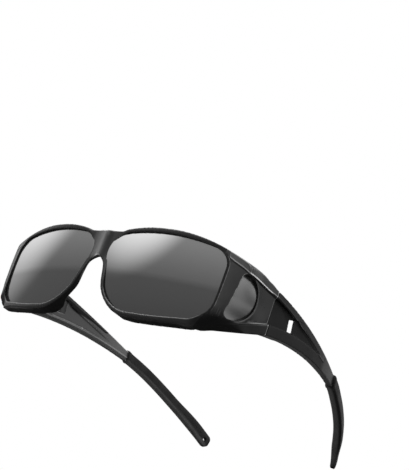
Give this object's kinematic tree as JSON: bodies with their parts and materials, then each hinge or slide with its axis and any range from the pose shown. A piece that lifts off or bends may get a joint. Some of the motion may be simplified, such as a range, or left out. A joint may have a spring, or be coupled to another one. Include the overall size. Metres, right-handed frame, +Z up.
{
  "type": "wraparound sunglasses",
  "caption": "Fit-over wraparound sunglasses: curved moulded front with smoke lenses, side windows, folding slotted temples and rubber ear tips.",
  "frame": {"origin": "middle of the footprint, at the level of the lowest point, which is the ends of the rubber tips", "axes": "+X towards the wearer's left, +Y from the lenses back towards the ears, +Z up as worn; temples open"},
  "size_m": [0.146, 0.17, 0.0481],
  "materials": {
    "frame_plastic": "satin black moulded nylon",
    "lens_tint": "smoke tinted polycarbonate, polished, with a light mirror coat",
    "side_tint": "smoke tinted polycarbonate, polished",
    "tip_rubber": "soft matte black rubber",
    "hinge_metal": "stamped nickel silver, dull",
    "screw_metal": "small slotted stainless screws",
    "core_metal": "plain spring steel strip, hidden in plastic and rubber"
  },
  "bodies": {
    "front": {"front_frame": "frame_plastic", "front_lens_left": "lens_tint", "front_lens_right": "lens_tint", "side_lens_left": "side_tint", "side_lens_right": "side_tint", "hinge_front_leaf_left": "hinge_metal", "hinge_front_leaf_right": "hinge_metal", "front_leaf_screws_left": "screw_metal", "front_leaf_screws_right": "screw_metal", "hinge_screw_left": "screw_metal", "hinge_screw_right": "screw_metal"},
    "left_temple": {"temple_left": "frame_plastic", "hinge_temple_leaf_left": "hinge_metal", "temple_leaf_screws_left": "screw_metal", "tip_core_left": "core_metal", "temple_tip_left": "tip_rubber"},
    "right_temple": {"temple_right": "frame_plastic", "hinge_temple_leaf_right": "hinge_metal", "temple_leaf_screws_right": "screw_metal", "tip_core_right": "core_metal", "temple_tip_right": "tip_rubber"}
  },
  "joints": [
    {"name": "left_temple_fold", "type": "hinge", "parent": "front", "child": "left_temple", "pos_m": [0.0666, -0.0462, 0.0277], "axis": [0, 0, 1], "range_deg": [0, 86]},
    {"name": "right_temple_fold", "type": "hinge", "parent": "front", "child": "right_temple", "pos_m": [-0.0666, -0.0462, 0.0277], "axis": [0, 0, -1], "range_deg": [0, 77]}
  ]
}
